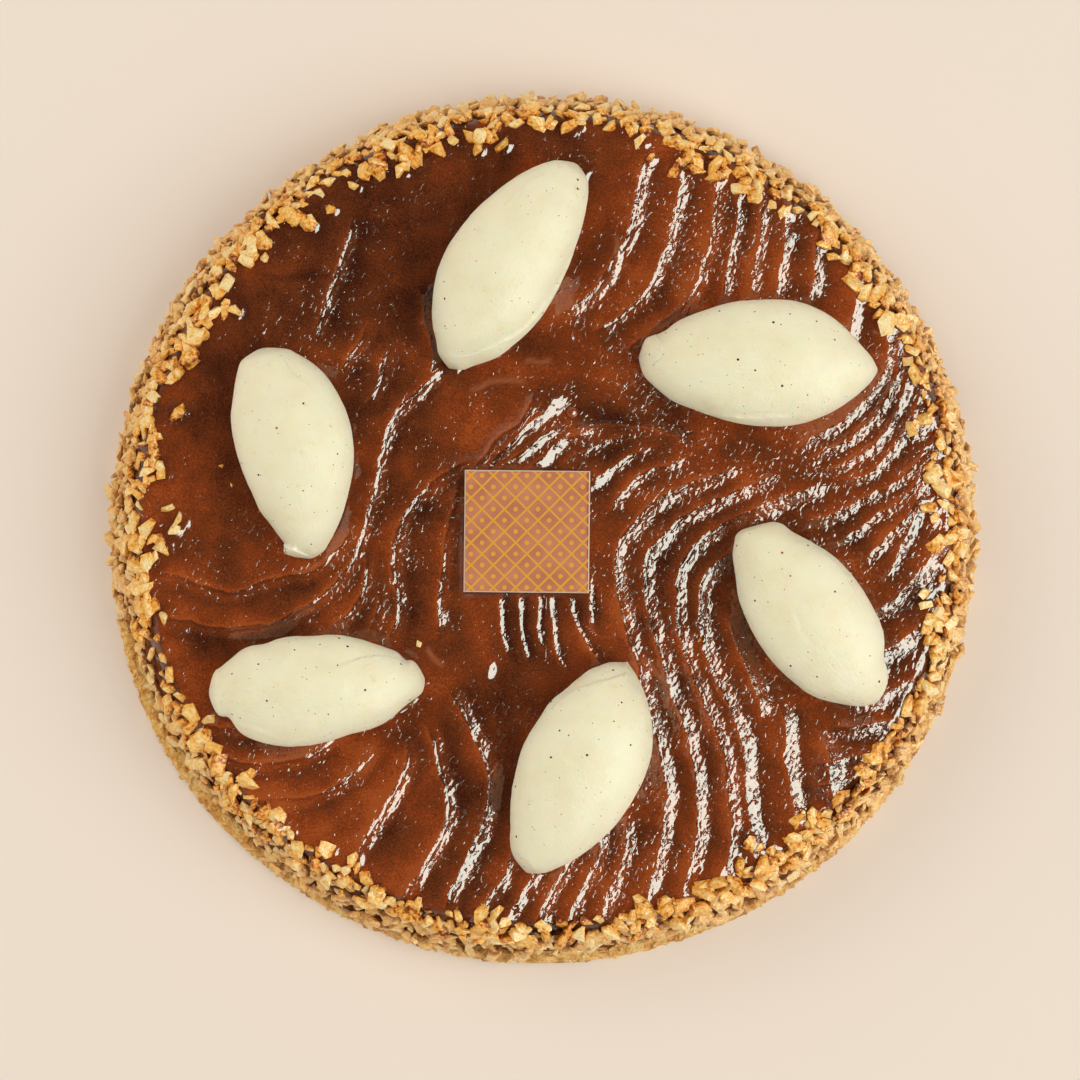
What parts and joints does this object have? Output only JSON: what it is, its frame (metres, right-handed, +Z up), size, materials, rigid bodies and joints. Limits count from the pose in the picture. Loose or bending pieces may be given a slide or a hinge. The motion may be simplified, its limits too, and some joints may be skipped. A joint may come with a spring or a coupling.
{
  "type": "tarte tatin",
  "caption": "Whole round tarte tatin: pressed caramelised apple slices on a pastry base, chopped nuts round the edge, quenelles of vanilla cream and a thin square chocolate plaque on top",
  "frame": {"origin": "on the plane that the tart stands on, under the middle of its bounding box", "axes": "+Z is up, the tart's axis and its thinnest extent. +X and +Y lie in the tart's plane, along the plaque's edges within one degree"},
  "size_m": [0.2404, 0.2398, 0.0502],
  "materials": {
    "pastry": "golden baked short pastry, dry and crumbly",
    "caramelised_apple": "glossy mahogany caramel glaze over apple",
    "vanilla_cream": "smooth ivory whipped cream with vanilla specks",
    "chocolate_plaque": "satin copper-rose chocolate with golden print"
  },
  "bodies": {
    "root": {"pastry_base": "pastry", "apple_layer": "caramelised_apple", "quenelle_1": "vanilla_cream", "quenelle_2": "vanilla_cream", "quenelle_3": "vanilla_cream", "quenelle_4": "vanilla_cream", "quenelle_5": "vanilla_cream", "quenelle_6": "vanilla_cream", "plaque": "chocolate_plaque"}
  },
  "joints": []
}
